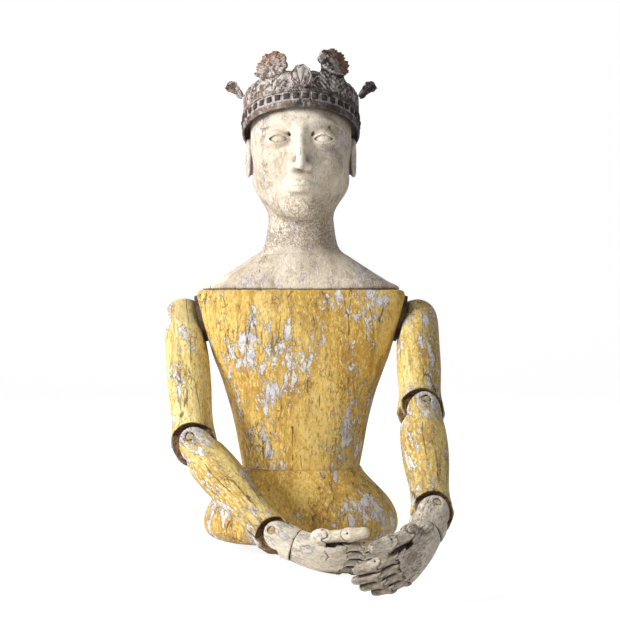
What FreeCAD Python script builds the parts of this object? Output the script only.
import FreeCAD, Part
import math
import os

from FreeCAD import Placement, Rotation, Vector

# Jointed wooden half-figure with a loose metal crown. Millimetres, degrees.
# Origin: centre of the flat base. +Z up, the figure faces -Y, its right arm is on the -X side.
# Both arms are built on the -X side; the other one is mirrored after it is placed.

X = Vector(1, 0, 0)
Y = Vector(0, 1, 0)
Z = Vector(0, 0, 1)
ZERO = Vector(0, 0, 0)

# --- trunk -----------------------------------------------------------------------------------
waist_height = 98.0
ledge_height = 345.0
waist_half_width = 81.0
shoulder_half_width = 146.0
side_slope = (shoulder_half_width - waist_half_width) / (ledge_height - waist_height)
side_tilt = math.degrees(math.atan(side_slope))
neck_seam_height = 394.0
dowel_radius = 8.0
dowel_spacing = 42.0
seam_dowel_reach = 35.0
yoke_dowel_reach = 18.0
neck_dowel_reach = 45.0

# Sections: height, half width, half depth, centre y, squareness (2 is an ellipse).
hip_sections = [
    (0.0, 119.0, 77.0, 0.0, 2.3),
    (4.0, 127.5, 84.0, 0.0, 2.3),
    (11.0, 133.5, 88.5, 0.0, 2.3),
    (22.0, 136.0, 90.0, 0.0, 2.3),
    (42.0, 130.5, 87.0, 0.0, 2.3),
    (66.0, 112.0, 78.0, 0.0, 2.3),
    (86.0, 92.0, 67.0, 0.0, 2.3),
    (waist_height, waist_half_width + 1, 61.0, 0.0, 2.3),
]
chest_sections = [
    (waist_height, 82.0, 61.0, 0.0, 2.3),
    (150.0, 91.5, 64.0, 0.0, 2.4),
    (210.0, 107.0, 68.0, 0.0, 2.6),
    (270.0, 130.0, 68.0, 0.0, 2.8),
    (315.0, 147.0, 62.0, 0.0, 3.0),
    (ledge_height, 155.0, 55.0, 0.0, 3.0),
]
yoke_edge_height = 5.0
yoke_foot_width = 137.0
yoke_top_width = 65.0
yoke_foot_depth = 52.0
yoke_top_depth = 48.0
yoke_steps = 7

# --- head ------------------------------------------------------------------------------------
neck_sections = [
    (neck_seam_height, yoke_top_width, yoke_top_depth, 0.0, 2.1),
    (401.0, 56.5, 46.5, 0.0, 2.0),
    (413.0, 50.5, 45.5, 0.0, 2.0),
    (432.0, 47.5, 45.0, 0.0, 2.0),
    (460.0, 46.0, 46.0, 0.0, 2.0),
    (490.0, 46.0, 46.0, 0.0, 2.0),
]
head_sections = [
    (440.0, 20.0, 13.0, -68.0, 2.0),
    (447.0, 36.0, 29.0, -54.0, 2.0),
    (464.0, 52.0, 52.0, -34.0, 2.1),
    (490.0, 63.0, 74.0, -14.0, 2.1),
    (520.0, 69.0, 86.0, -3.0, 2.1),
    (556.0, 72.0, 91.0, 0.0, 2.1),
    (592.0, 71.0, 90.0, 1.0, 2.1),
    (620.0, 61.0, 78.0, 1.0, 2.1),
    (639.0, 43.0, 56.0, 1.0, 2.1),
    (648.0, 20.0, 27.0, 1.0, 2.0),
]
eye_height = 545.0
eye_spread = 31.0
nose_root_height = 548.0
nose_tip_height = 508.0
mouth_height = 483.0
ear_height = 529.0
ear_out = 68.5

# --- crown -----------------------------------------------------------------------------------
crown_tilt = 15.0
crown_centre = Vector(0, 0, 561.0)
crown_half_width = 81.0
crown_half_depth = 98.0
crown_sheet = 1.6
crown_wall_height = 52.0
crown_tallest = 110.0
rim_height = 9.0
rim_band = 1.6
bead_height = 3.0
bead_depth = 2.0
stud_count = 40
stud_size = 7.5
stud_height = 16.0
stud_lift = 2.6
stud_crest = 0.8
ornament_root = 6.0
seat_gap = 0.02
# angle from the front centre, height of the flower centre
fleurons = [(33.0, 71.0), (147.0, 70.0), (213.0, 70.0), (331.0, 68.0)]
fleuron_radius = 21.5
fleuron_foot_radius = 30.0
crest_radius = 17.0
crest_drop = 12.0
flower_petals = 9
flower_lift = 3.2
shell_height = 38.0
shell_ribs = 7
shell_spread = 15.0
shell_reach = 15.0
leaf_height = 46.0
leaf_length = 27.0
leaf_half_width = 8.5
leaf_notch = 1.8
leaf_thickness = 1.8
leaf_lean = 32.0

# --- arms ------------------------------------------------------------------------------------
shoulder_out = 163.0
shoulder_height = 299.0
arm_to_pin_lean = 6.0
disc_thickness = 5.5
disc_play = 0.3
disc_radius = 33.0
shoulder_pin_radius = 8.0
upper_arm_length = 188.0
forearm_length = 169.0
elbow_radius = 28.5
elbow_pin_radius = 6.0
wrist_pin_radius = 5.0
running_gap = 0.05
tongue_share = 0.34

# --- hands -----------------------------------------------------------------------------------
wrist_block_length = 31.0
ring_gap = 0.5
tenon_radius = 6.5
tenon_length = 14.0
palm_length = 64.0
palm_curl = 30.0
digit_width = 11.6
digit_pitch = 12.3
digit_thickness = 6.2
lug_width = 4.0
pin_radius = 1.3
# name, sideways place (thumb side positive), set-back from the palm end, first and second length
fingers = [
    ("index", 1.5 * digit_pitch, 2.0, 22.0, 27.0),
    ("middle", 0.5 * digit_pitch, 0.0, 23.0, 30.0),
    ("ring", -0.5 * digit_pitch, 2.0, 22.0, 27.0),
    ("little", -1.5 * digit_pitch, 6.0, 19.0, 23.0),
]
thumb_station = 36.0
thumb_side = 27.5
thumb_splay = 14.0
thumb_lengths = (27.0, 27.0)
thumb_width = 15.0
thumb_thickness = 7.6

# Rest attitude of each arm: swing forward, elbow bend, wrist bend, hand swivel, then the
# knuckle bend, middle-joint bend and thumb bends.
poses = {
    "right": dict(swing=31.0, elbow=33.0, wrist=24.0, swivel=56.0, knuckle=4.0, middle=5.0,
                  thumb=6.0, thumb_tip=4.0, wrist_radius=22.5),
    "left": dict(swing=52.5, elbow=-3.0, wrist=20.0, swivel=58.0, knuckle=24.0, middle=14.0,
                 thumb=10.0, thumb_tip=8.0, wrist_radius=24.0),
}


def turn(axis, degrees, origin=ZERO):
    return Placement(origin, Rotation(axis, degrees))


def placed(shape, placement):
    moved = shape.copy()
    moved.Placement = placement.multiply(moved.Placement)
    return moved


def section_wire(height, half_width, half_depth, centre_y, squareness, count=28):
    """One closed cross-section: a superellipse."""
    points = []
    for step in range(count):
        angle = 2 * math.pi * step / count
        c = math.cos(angle)
        s = math.sin(angle)
        x = half_width * math.copysign(abs(c) ** (2 / squareness), c)
        y = half_depth * math.copysign(abs(s) ** (2 / squareness), s)
        points.append(Vector(x, centre_y + y, height))
    curve = Part.BSplineCurve()
    curve.interpolate(Points=points, PeriodicFlag=True)
    return Part.Wire([curve.toShape()])


def yoke_sections():
    """A short upright edge, then an almost straight slope up to the neck."""
    rows = [(ledge_height, yoke_foot_width, yoke_foot_depth, 0.0, 2.4)]
    slope_foot = ledge_height + yoke_edge_height
    for step in range(yoke_steps + 1):
        share = step / yoke_steps
        width = yoke_foot_width + (yoke_top_width - yoke_foot_width) * share
        depth = yoke_foot_depth + (yoke_top_depth - yoke_foot_depth) * share
        height = slope_foot + (neck_seam_height - slope_foot) * share ** 1.1
        rows.append((height, width, depth, 0.0, 2.4 - 0.3 * share))
    return rows


def loft(sections):
    return Part.makeLoft([section_wire(*section) for section in sections], True, False)


def turned(profile):
    """Solid of revolution about Z from (radius, height) points, first and last on the axis."""
    points = [Vector(radius, 0, height) for radius, height in profile]
    curve = Part.BSplineCurve()
    curve.interpolate(Points=points)
    closing = Part.makeLine(points[-1], points[0])
    return Part.Face(Part.Wire([curve.toShape(), closing])).revolve(ZERO, Z, 360)


def cylinder(radius, start, end):
    direction = end - start
    return Part.makeCylinder(radius, direction.Length, start, direction)


def cross_bar(radius, half_length, centre_z=0.0, axis=Y):
    middle = Vector(0, 0, centre_z)
    return cylinder(radius, middle - axis * half_length, middle + axis * half_length)


def slab(x_range, y_range, z_range):
    size = [high - low for low, high in (x_range, y_range, z_range)]
    return Part.makeBox(*size, Vector(x_range[0], y_range[0], z_range[0]))


def ellipsoid(long_radius, round_radius, centre, axis):
    """Ellipsoid of revolution about the given axis."""
    ellipse = Part.Ellipse(ZERO, max(long_radius, round_radius), min(long_radius, round_radius))
    if long_radius >= round_radius:
        arc = Part.Arc(ellipse, 0, math.pi).toShape()
        body = Part.Face(Part.Wire([arc, Part.makeLine(Vector(-long_radius, 0, 0),
                                                       Vector(long_radius, 0, 0))]))
        body = body.revolve(ZERO, X, 360)
        source = X
    else:
        arc = Part.Arc(ellipse, -math.pi / 2, math.pi / 2).toShape()
        body = Part.Face(Part.Wire([arc, Part.makeLine(Vector(0, long_radius, 0),
                                                       Vector(0, -long_radius, 0))]))
        body = body.revolve(ZERO, Y, 360)
        source = Y
    return placed(body, Placement(centre, Rotation(source, axis)))


# --- trunk and head --------------------------------------------------------------------------

def side_plane_cutter():
    """Everything outside the flat side of the chest, on the -X side."""
    box = slab((-120, 0), (-150, 150), (-200, 300))
    return placed(box, Placement(Vector(-waist_half_width, 0, waist_height),
                                 Rotation(Y, -side_tilt)))


def chest():
    body = loft(chest_sections)
    cutter = side_plane_cutter()
    return body.cut(cutter).cut(cutter.mirror(ZERO, X))


def trunk_dowels():
    """Two dowels across the waist seam, two under the yoke and one up the neck."""
    dowels = []
    for side in (-1, 1):
        waist = Vector(side * dowel_spacing, 0, waist_height)
        ledge = Vector(1.5 * side * dowel_spacing, 0, ledge_height)
        dowels.append(cylinder(dowel_radius, waist - Z * seam_dowel_reach, waist + Z * seam_dowel_reach))
        dowels.append(cylinder(dowel_radius, ledge - Z * 25, ledge + Z * yoke_dowel_reach))
    neck = Vector(0, 0, neck_seam_height)
    ledge = Vector(0, 0, ledge_height)
    dowels.append(cylinder(1.6 * dowel_radius, ledge - Z * 30, neck + Z * neck_dowel_reach))
    return Part.makeCompound(dowels)


def nose():
    """Bridge, tip and wings as a loft of three-sided outlines down the face."""
    middle_height = 0.5 * (nose_root_height + nose_tip_height)
    stations = [
        (nose_root_height, 6.0, -84.0, -91.0),
        (middle_height, 8.0, -84.0, -98.0),
        (nose_tip_height + 4, 12.0, -80.0, -107.0),
        (nose_tip_height - 3, 10.0, -78.0, -99.0),
    ]
    wires = []
    for height, half_width, back, front in stations:
        flank = 0.5 * (back + front)
        ring = [Vector(-half_width, back, height), Vector(-0.6 * half_width, flank, height),
                Vector(0, front, height), Vector(0.6 * half_width, flank, height),
                Vector(half_width, back, height)]
        curve = Part.BSplineCurve()
        curve.interpolate(Points=ring)
        wires.append(Part.Wire([curve.toShape(), Part.makeLine(ring[-1], ring[0])]))
    return Part.makeLoft(wires, True, False)


def ear():
    """Oval shell with a hollow, on the -X side."""
    lean = Vector(0, 0.15, 1)
    body = ellipsoid(27.0, 12.0, Vector(-ear_out, 8, ear_height), lean)
    return body.cut(ellipsoid(15.0, 6.0, Vector(-ear_out - 11, 4, ear_height + 3), lean))


def head():
    body = loft(neck_sections).fuse(loft(head_sections))
    lip_offset = 4.0
    for side in (-1, 1):
        socket = ellipsoid(19.0, 10.0, Vector(side * eye_spread, -93, eye_height), X)
        body = body.cut(socket)
        body = body.fuse(ellipsoid(14.5, 10.5, Vector(side * eye_spread, -77.5, eye_height), X))
    body = body.fuse(nose())
    body = body.fuse(ear()).fuse(ear().mirror(ZERO, X))
    for offset, length in ((lip_offset, 21.0), (-lip_offset, 18.0)):
        body = body.fuse(ellipsoid(length, 6.5, Vector(0, -84, mouth_height + offset), X))
    return body


# --- crown, built level on the origin, then tilted back ---------------------------------------

def oval_ring(outer_offset, thickness, low, high):
    outer = Part.Ellipse(Vector(0, 0, low), crown_half_depth + outer_offset,
                         crown_half_width + outer_offset)
    inner = Part.Ellipse(Vector(0, 0, low), crown_half_depth + outer_offset - thickness,
                         crown_half_width + outer_offset - thickness)
    face = Part.Face(Part.Wire(outer.toShape())).cut(Part.Face(Part.Wire(inner.toShape())))
    ring = face.extrude(Vector(0, 0, high - low))
    return placed(ring, turn(Z, 90))


def oval_point(degrees, height, offset=0.0):
    """Point on the crown wall; the angle is counted from the front centre."""
    angle = math.radians(degrees)
    return Vector((crown_half_width + offset) * math.sin(angle),
                  -(crown_half_depth + offset) * math.cos(angle), height)


def oval_normal(degrees):
    angle = math.radians(degrees)
    return Vector(math.sin(angle) / crown_half_width,
                  -math.cos(angle) / crown_half_depth, 0).normalize()


def wall_frame(degrees, height, offset=0.0):
    """Frame on the wall: its Z points straight out of the wall, its Y up."""
    out = oval_normal(degrees)
    along = Z.cross(out)
    matrix = FreeCAD.Matrix(along.x, 0, out.x, 0, along.y, 0, out.y, 0, 0, 1, 0, 0)
    frame = Placement(matrix)
    frame.Base = oval_point(degrees, height, offset)
    return frame


def crown_wall():
    """Sheet-metal wall with four tall fleurons and a rise front and back."""
    foot = 0.5 * rim_height
    tall = oval_ring(0, crown_sheet, foot, crown_tallest)
    wall = oval_ring(0, crown_sheet, foot, crown_wall_height)
    shoulder_of_wall = crown_wall_height - crest_drop
    outlines = []
    for degrees, height in fleurons:
        outlines.append((degrees, height, fleuron_radius))
        outlines.append((degrees, shoulder_of_wall, fleuron_foot_radius))
    for degrees in (0, 180):
        outlines.append((degrees, shoulder_of_wall, crest_radius))
    for degrees, height, radius in outlines:
        stamp = Part.makeCylinder(radius, 24, Vector(0, 0, -12), Z)
        wall = wall.fuse(tall.common(placed(stamp, wall_frame(degrees, height))))
    return wall.removeSplitter()


def crown_rim():
    """Plain band at the foot and the raised line above the studs."""
    band = oval_ring(rim_band, rim_band, 0, rim_height)
    foot = oval_ring(0, crown_sheet, 0, 0.5 * rim_height)
    bead_foot = stud_height + 0.5 * stud_size + bead_height - 0.25
    bead = oval_ring(bead_depth, bead_depth, bead_foot, bead_foot + bead_height)
    return Part.makeCompound([band.fuse(foot), bead])


def seated(ornament):
    """Trims an ornament to the round of the wall, so that it lies close against it."""
    oval = Part.Ellipse(ZERO, crown_half_depth + seat_gap, crown_half_width + seat_gap)
    inside = Part.Face(Part.Wire(oval.toShape())).extrude(Vector(0, 0, 2 * crown_tallest))
    return ornament.cut(placed(inside, turn(Z, 90)))


def crown_studs():
    """Square studs with a smaller raised square on each."""
    half = stud_size / 2
    block = slab((-half, half), (-half, half), (-ornament_root, stud_lift))
    crest = slab((-half / 2, half / 2), (-half / 2, half / 2), (stud_lift, stud_lift + stud_crest))
    stud = block.fuse(crest).removeSplitter()
    studs = []
    for index in range(stud_count):
        degrees = 360.0 * (index + 0.5) / stud_count
        studs.append(seated(placed(stud, wall_frame(degrees, stud_height))))
    return Part.makeCompound(studs)


def flower():
    """A round boss with petals; z = 0 is the wall."""
    radius = 0.9 * fleuron_radius
    petal_place = 0.72 * radius
    petal_radius = 0.95 * radius * math.sin(math.pi / flower_petals)
    root = Vector(0, 0, -ornament_root)
    body = cylinder(0.8 * radius, root, Vector(0, 0, 0.6 * flower_lift))
    for index in range(flower_petals):
        angle = 2 * math.pi * index / flower_petals
        centre = Vector(petal_place * math.cos(angle), petal_place * math.sin(angle), 0)
        body = body.fuse(cylinder(petal_radius, centre + root, centre + Z * flower_lift))
    return body.fuse(cylinder(0.3 * radius, root, Vector(0, 0, 1.5 * flower_lift))).removeSplitter()


def shell():
    """A fan of ribs with round ends that spreads from a knob; z = 0 is the wall."""
    knob_radius = 3.4
    tip_radius = 3.1
    knob = Vector(0, -9, 0)
    root = Vector(0, 0, -ornament_root)
    body = cylinder(knob_radius, knob + root, knob + Z * 4.5)
    for rib in range(shell_ribs):
        lean = math.radians(shell_spread * (rib - (shell_ribs - 1) / 2))
        tip = Vector(shell_reach * math.sin(lean), shell_reach * math.cos(lean) - 2, 0)
        body = body.fuse(cylinder(tip_radius, tip + root, tip + Z * 3.6))
        body = body.fuse(cylinder(tip_radius / 2, knob + Z * 1.6, tip + Z * 1.6))
    return body.removeSplitter()


def crown_rosettes():
    """Stamped flowers on the four fleurons and a ribbed shell front and back."""
    ornaments = []
    for degrees, height in fleurons:
        ornaments.append(seated(placed(flower(), wall_frame(degrees, height))))
    for degrees in (0, 180):
        ornaments.append(seated(placed(shell(), wall_frame(degrees, shell_height))))
    return Part.makeCompound(ornaments)


def crown_leaves():
    """Notched leaf on each side, flared outward from the wall."""
    notches = 6
    edge = [Vector(-leaf_half_width / 2, -leaf_thickness, 0), Vector(-leaf_half_width * 0.7, 0, 0)]
    for step in range(1, notches):
        width = leaf_half_width - leaf_notch * (step % 2)
        edge.append(Vector(-width, leaf_length * step / notches, 0))
    tip = Vector(0, leaf_length, 0)
    other_edge = [Vector(-point.x, point.y, 0) for point in reversed(edge)]
    outline = Part.makePolygon(edge + [tip] + other_edge + [edge[0]])
    leaf = Part.Face(outline).extrude(Z * leaf_thickness)
    rib_half = 1.2
    rib = slab((-rib_half, rib_half), (0, leaf_length - 3), (leaf_thickness, leaf_thickness + rib_half))
    leaf = leaf.fuse(rib).removeSplitter()
    leaves = []
    for degrees in (90, 270):
        frame = wall_frame(degrees, leaf_height).multiply(turn(X, leaf_lean))
        leaves.append(seated(placed(leaf, frame)))
    return Part.makeCompound(leaves)


# --- bridle joint: tongue on the upper member, slot and two round cheeks on the lower one ------
# Member frame: z up the limb, y toward the back, the pin lies along y through the origin.

def arch_face(radius):
    """Outline of the space under the arched lips, in the plane of the joint."""
    foot = 0.36 * radius
    crown = 0.67 * radius
    reach = radius * 1.02
    arch = Part.Arc(Vector(-reach, 0, foot), Vector(0, 0, crown), Vector(reach, 0, foot)).toShape()
    far = 2 * radius
    corners = [Vector(reach, 0, foot), Vector(far, 0, foot), Vector(far, 0, -far),
               Vector(-far, 0, -far), Vector(-far, 0, foot), Vector(-reach, 0, foot)]
    return Part.Face(Part.Wire([arch, Part.makePolygon(corners)]))


def cheek_face(radius):
    """Outline of the round cheeks: the pin sits near the top of the rounding."""
    centre = -0.42 * radius
    top_radius = 0.8 * radius
    far = 2 * radius
    tilt = math.radians(15)
    shoulder = Vector(top_radius * math.cos(tilt), 0, centre - top_radius * math.sin(tilt))
    arc = Part.Arc(shoulder, Vector(0, 0, centre + top_radius),
                   Vector(-shoulder.x, 0, shoulder.z)).toShape()
    corners = [Vector(-shoulder.x, 0, shoulder.z), Vector(-far * 0.6, 0, -1.2 * radius),
               Vector(-far * 0.6, 0, -12 * radius), Vector(far * 0.6, 0, -12 * radius),
               Vector(far * 0.6, 0, -1.2 * radius), shoulder]
    return Part.Face(Part.Wire([arc, Part.makePolygon(corners)]))


def tongue_thickness(radius):
    return 2 * radius * tongue_share


def with_tongue(body, radius, joint_z, pin):
    """Cut the arched lips front and back and add the round-ended tongue."""
    half = tongue_thickness(radius) / 2
    shifted = turn(X, 0, Vector(0, 0, joint_z))
    space = placed(arch_face(radius), shifted)
    front = space.copy()
    front.translate(Vector(0, -2 * radius, 0))
    front = front.extrude(Vector(0, 2 * radius - half, 0))
    back = space.copy()
    back.translate(Vector(0, half, 0))
    back = back.extrude(Vector(0, 2 * radius, 0))
    below = slab((-99, 99), (-99, 99), (joint_z - 300, joint_z))
    tongue = cross_bar(radius - 0.4, half, joint_z)
    result = body.cut(front).cut(back).cut(below).fuse(tongue)
    return result.cut(cross_bar(pin + running_gap, 2 * radius, joint_z)).removeSplitter()


def with_cheeks(body, radius, pin):
    """Round the top of the member over its pin and cut the slot for the tongue."""
    half = tongue_thickness(radius) / 2 + 0.5
    outline = cheek_face(radius)
    outline.translate(Vector(0, -2 * radius, 0))
    shaped = body.common(outline.extrude(Vector(0, 4 * radius, 0)))
    slot = cross_bar(radius + 0.8, half)
    slot = slot.fuse(slab((-2 * radius, 2 * radius), (-half, half), (0, 2 * radius)))
    return shaped.cut(slot).cut(cross_bar(pin, 2 * radius)).removeSplitter()


def joint_pin(radius, pin, domed=0.8):
    """Dowel from cheek to cheek with slightly rounded ends."""
    half = 0.96 * radius
    bar = cross_bar(pin, half)
    return bar.makeFillet(domed, [edge for edge in bar.Edges if edge.Curve.TypeId == "Part::GeomCircle"])


def upper_arm():
    body = turned([(0, 33), (14, 31), (23.5, 24), (28, 11), (29.5, -8), (29.5, -50),
                   (29, -110), (elbow_radius, -upper_arm_length + 20),
                   (elbow_radius, -upper_arm_length - 20), (0, -upper_arm_length - 22)])
    pin_direction = Vector(math.cos(math.radians(arm_to_pin_lean)), 0,
                           math.sin(math.radians(arm_to_pin_lean)))
    flat = Part.makeBox(80, 200, 200, Vector(0, -100, -100))
    offset = shoulder_side_distance() - disc_thickness - disc_play
    frame = Placement(pin_direction * offset, Rotation(X, pin_direction))
    body = body.cut(placed(flat, frame))
    body = with_tongue(body, elbow_radius, -upper_arm_length, elbow_pin_radius)
    hole = cylinder(shoulder_pin_radius + running_gap, pin_direction * -14,
                    pin_direction * 60)
    return body.cut(hole)


def forearm(wrist_radius):
    reach = forearm_length
    body = turned([(0, 26), (20, 25.8), (elbow_radius, 22), (elbow_radius, 0), (elbow_radius, -30),
                   (0.5 * (elbow_radius + wrist_radius) + 0.8, -95),
                   (wrist_radius + 0.2, -reach + 14), (wrist_radius, -reach - 16),
                   (0, -reach - 18)])
    body = with_cheeks(body, elbow_radius, elbow_pin_radius)
    return with_tongue(body, wrist_radius, -reach, wrist_pin_radius)


def wrist_block(wrist_radius):
    top = (20.0, wrist_radius - 0.6, wrist_radius - 0.6, 0.0, 2.0)
    middle = (-10.0, wrist_radius - 0.8, wrist_radius - 2.2, 0.0, 2.1)
    ring = (-wrist_block_length, 21.0, 17.0, 0.0, 2.2)
    body = with_cheeks(loft([ring, middle, top]), wrist_radius, wrist_pin_radius)
    end = Vector(0, 0, -wrist_block_length)
    return body.fuse(cylinder(tenon_radius, end + Z, end - Z * tenon_length))


# --- hand ------------------------------------------------------------------------------------
# Palm frame: origin on the ring seam, z toward the wrist, x toward the thumb, y out of the palm.

def along_palm(distance, sideways=0.0):
    """Frame on the curved centre line of the palm."""
    bend_radius = palm_length / math.radians(palm_curl)
    angle = distance / bend_radius
    point = Vector(sideways, bend_radius * (1 - math.cos(angle)), -bend_radius * math.sin(angle))
    return turn(X, math.degrees(angle), point)


def knuckle_frame(sideways, setback):
    return along_palm(palm_length - setback, sideways)


def thumb_frame():
    base = along_palm(thumb_station, thumb_side)
    return base.multiply(turn(Y, -thumb_splay)).multiply(turn(Z, -35))


def seat_cutter(width, thickness, wall=40.0):
    """Space taken by the round cheeks of a digit, either side of the lug."""
    radius = thickness + 0.35
    parts = []
    for low, high in ((-width / 2, -lug_width / 2), (lug_width / 2, width / 2)):
        centre = Vector(low, 0, 0)
        parts.append(cylinder(radius, centre, Vector(high, 0, 0)))
        parts.append(slab((low, high), (-wall, wall), (-wall, 0)))
    return parts[0].fuse(parts[1:])


def lug_tip(thickness):
    """Round end of the lug beyond the pin."""
    return cylinder(thickness - 0.8, Vector(-lug_width / 2, 0, 0), Vector(lug_width / 2, 0, 0))


def lug_cutter(width, thickness, wall=40.0):
    """What has to go beyond the pin so that only the round lug tip is left."""
    middle = slab((-lug_width / 2, lug_width / 2), (-wall, wall), (-wall, 0))
    return middle.cut(lug_tip(thickness))


def pin_bore(radius, width):
    return cylinder(radius, Vector(-width, 0, 0), Vector(width, 0, 0))


def digit_slot(thickness):
    """Slot in a digit for the lug of the member before it, open toward the palm side."""
    half = lug_width / 2 + 0.25
    slot = cylinder(thickness - 0.3, Vector(-half, 0, 0), Vector(half, 0, 0))
    slot = slot.fuse(slab((-half, half), (-30, 30), (0, 30)))
    return slot.fuse(slab((-half, half), (0, 30), (-thickness, 30)))


def digit_body(width, thickness, length, taper, tip):
    """Rounded bar; a tip digit ends in a dome, an inner one runs past its next pin."""
    end = -length if tip else -length - thickness
    stations = [(0.0, 1.0), (0.45, 0.97), (0.8, 0.5 * (1 + taper)), (1.0, taper)]
    if tip:
        stations = [(0.0, 1.0), (0.4, 0.97), (0.7, 0.9), (0.88, 0.74), (0.97, 0.48), (1.0, 0.2)]
    sections = []
    for share, scale in reversed(stations):
        sections.append((end * share, width / 2 * scale, thickness * scale, 0.0, 2.6))
    bar = loft(sections)
    barrel = cylinder(thickness, Vector(-width / 2, 0, 0), Vector(width / 2, 0, 0))
    return bar.fuse(barrel)


def inner_digit(width, thickness, length):
    body = digit_body(width, thickness, length, 0.96, False)
    far = Vector(0, 0, -length)
    for cutter in (seat_cutter(width + 4, thickness), lug_cutter(width, thickness)):
        cutter.translate(far)
        body = body.cut(cutter)
    bore = pin_bore(pin_radius, width)
    bore.translate(far)
    body = body.cut(bore).cut(digit_slot(thickness))
    return body.cut(pin_bore(pin_radius + running_gap, width)).removeSplitter()


def tip_digit(width, thickness, length):
    body = digit_body(width, thickness, length, 0.6, True)
    return body.cut(digit_slot(thickness)).cut(pin_bore(pin_radius + running_gap, width)).removeSplitter()


def palm():
    stations = [(ring_gap, 20.5, 17.0, 0.0), (12.0, 21.5, 16.5, 0.0), (28.0, 23.5, 14.5, 0.0),
                (46.0, 25.0, 11.0, -1.0), (palm_length + 8, 25.7, 6.6, -0.8)]
    wires = []
    for distance, half_width, half_depth, centre in stations:
        wires.append(placed(section_wire(0, half_width, half_depth, centre, 2.6), along_palm(distance)))
    body = Part.makeLoft(wires, True, False)
    mount = thumb_frame()
    heel = placed(ellipsoid(15.0, 10.5, Vector(0, 0, 5), Z), mount)
    body = body.fuse(heel)
    body = body.cut(slab((-60, 60), (-60, 60), (-ring_gap, 30)))
    for name, sideways, setback, first, second in fingers:
        frame = knuckle_frame(sideways, setback)
        beyond = slab((-digit_pitch / 2, digit_pitch / 2), (-40, 40), (-60, -digit_thickness - 0.2))
        body = body.cut(placed(beyond, frame))
        if abs(sideways) > digit_pitch:
            outer = slab((0, 20), (-40, 40), (-60, digit_thickness))
            turned_out = 0 if sideways > 0 else 180
            outer = placed(outer, turn(Z, turned_out, Vector(math.copysign(digit_pitch / 2, sideways), 0, 0)))
            body = body.cut(placed(outer, frame))
        body = body.cut(placed(seat_cutter(digit_pitch, digit_thickness), frame))
        body = body.cut(placed(lug_cutter(digit_pitch, digit_thickness), frame))
        body = body.cut(placed(pin_bore(pin_radius, digit_pitch / 2), frame))
    room = slab((-thumb_width / 2 - 1, thumb_width / 2 + 1),
                (-thumb_thickness - 1, 30), (-60, -thumb_thickness - 1))
    body = body.cut(placed(room, mount))
    body = body.cut(placed(seat_cutter(thumb_width + 2, thumb_thickness, 12.0), mount))
    body = body.cut(placed(lug_cutter(thumb_width, thumb_thickness, 12.0), mount))
    body = body.fuse(placed(lug_tip(thumb_thickness), mount))
    body = body.cut(placed(pin_bore(pin_radius, thumb_width / 2), mount))
    bore = cylinder(tenon_radius + running_gap, ZERO, Vector(0, 0, -tenon_length - 1))
    return body.cut(bore).removeSplitter()


def knuckle_pins():
    pins = []
    for name, sideways, setback, first, second in fingers:
        pins.append(placed(pin_bore(pin_radius, digit_width / 2), knuckle_frame(sideways, setback)))
    pins.append(placed(pin_bore(pin_radius, thumb_width / 2), thumb_frame()))
    return Part.makeCompound(pins)


# --- one whole arm, on the -X side --------------------------------------------------------------

def shoulder_frame():
    return turn(Y, -side_tilt, Vector(-shoulder_out, 0, shoulder_height))


def arm_frames(pose):
    """Placement of every moving member of the arm, shoulder first."""
    frames = {}
    swung = shoulder_frame().multiply(turn(X, -pose["swing"]))
    frames["upper_arm"] = swung.multiply(turn(Y, arm_to_pin_lean))
    elbow = turn(Y, -pose["elbow"], Vector(0, 0, -upper_arm_length))
    frames["forearm"] = frames["upper_arm"].multiply(elbow)
    wrist = turn(Y, -pose["wrist"], Vector(0, 0, -forearm_length))
    frames["wrist_block"] = frames["forearm"].multiply(wrist)
    ring = turn(Z, -pose["swivel"], Vector(0, 0, -wrist_block_length))
    frames["palm"] = frames["wrist_block"].multiply(ring)
    for name, sideways, setback, first, second in fingers:
        base = frames["palm"].multiply(knuckle_frame(sideways, setback))
        frames[name + "_base"] = base.multiply(turn(X, pose["knuckle"]))
        tip = turn(X, pose["middle"], Vector(0, 0, -first))
        frames[name + "_tip"] = frames[name + "_base"].multiply(tip)
    base = frames["palm"].multiply(thumb_frame())
    frames["thumb_base"] = base.multiply(turn(X, pose["thumb"]))
    tip = turn(X, pose["thumb_tip"], Vector(0, 0, -thumb_lengths[0]))
    frames["thumb_tip"] = frames["thumb_base"].multiply(tip)
    return frames


def shoulder_hardware():
    """Disc between arm and chest, and the pin that goes through it into the chest."""
    frame = shoulder_frame()
    chest_side = shoulder_side_distance()
    disc = cylinder(disc_radius, Vector(chest_side - disc_thickness, 0, 0), Vector(chest_side, 0, 0))
    pin = cylinder(shoulder_pin_radius, Vector(-13, 0, 0), Vector(chest_side + 45, 0, 0))
    disc = disc.cut(pin)
    return placed(disc, frame), placed(pin, frame)


def shoulder_side_distance():
    """Distance along the pin from the arm axis to the flat side of the chest."""
    side_x = waist_half_width + side_slope * (shoulder_height - waist_height)
    return (shoulder_out - side_x) * math.cos(math.radians(side_tilt))


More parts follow.
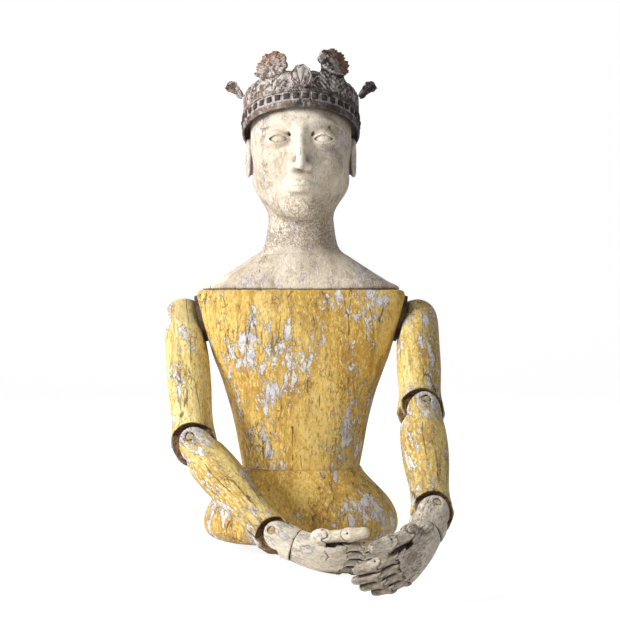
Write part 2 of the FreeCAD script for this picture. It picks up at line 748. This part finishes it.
def arm_solids(pose):
    frames = arm_frames(pose)
    radius = pose["wrist_radius"]
    solids = {}
    solids["upper_arm"] = placed(upper_arm(), frames["upper_arm"])
    solids["forearm"] = placed(forearm(radius), frames["forearm"])
    solids["elbow_dowel"] = placed(joint_pin(elbow_radius, elbow_pin_radius), frames["forearm"])
    solids["wrist_block"] = placed(wrist_block(radius), frames["wrist_block"])
    solids["wrist_dowel"] = placed(joint_pin(radius - 1.5, wrist_pin_radius), frames["wrist_block"])
    solids["palm"] = placed(palm(), frames["palm"])
    solids["knuckle_pins"] = placed(knuckle_pins(), frames["palm"])
    digits = [(name, digit_width, digit_thickness, first, second)
              for name, sideways, setback, first, second in fingers]
    digits.append(("thumb", thumb_width, thumb_thickness) + thumb_lengths)
    for name, width, thickness, first, second in digits:
        base = frames[name + "_base"]
        solids[name + "_base"] = placed(inner_digit(width, thickness, first), base)
        pin = pin_bore(pin_radius, width / 2 * 0.93)
        pin.translate(Vector(0, 0, -first))
        solids[name + "_pin"] = placed(pin, base)
        solids[name + "_tip"] = placed(tip_digit(width * 0.96, thickness, second), frames[name + "_tip"])
    return solids


def build():
    nodes = {}
    dowels = trunk_dowels()
    hardware = [shoulder_hardware()]
    hardware.append([shape.mirror(ZERO, X) for shape in hardware[0]])
    trunk = chest().cut(dowels)
    for side, (disc, pin) in zip(("right", "left"), hardware):
        nodes[side + "_shoulder_disc"] = disc
        nodes[side + "_shoulder_pin"] = pin
        trunk = trunk.cut(pin)
    nodes["chest_block"] = trunk
    nodes["hip_block"] = loft(hip_sections).cut(dowels)
    nodes["shoulder_yoke"] = loft(yoke_sections()).cut(dowels)
    nodes["head"] = head().cut(dowels)
    nodes["trunk_dowels"] = dowels
    crown_frame = turn(X, -crown_tilt, crown_centre)
    for name, shape in (("crown_wall", crown_wall()), ("crown_rim", crown_rim()),
                        ("crown_studs", crown_studs()), ("crown_rosettes", crown_rosettes()),
                        ("crown_leaves", crown_leaves())):
        nodes[name] = placed(shape, crown_frame)
    for name, shape in arm_solids(poses["right"]).items():
        nodes["right_" + name] = shape
    for name, shape in arm_solids(poses["left"]).items():
        nodes["left_" + name] = shape.mirror(ZERO, X)
    return nodes


def main():
    os.makedirs("parts", exist_ok=True)
    for name, shape in build().items():
        shape.exportStep("parts/" + name + ".step")


main()
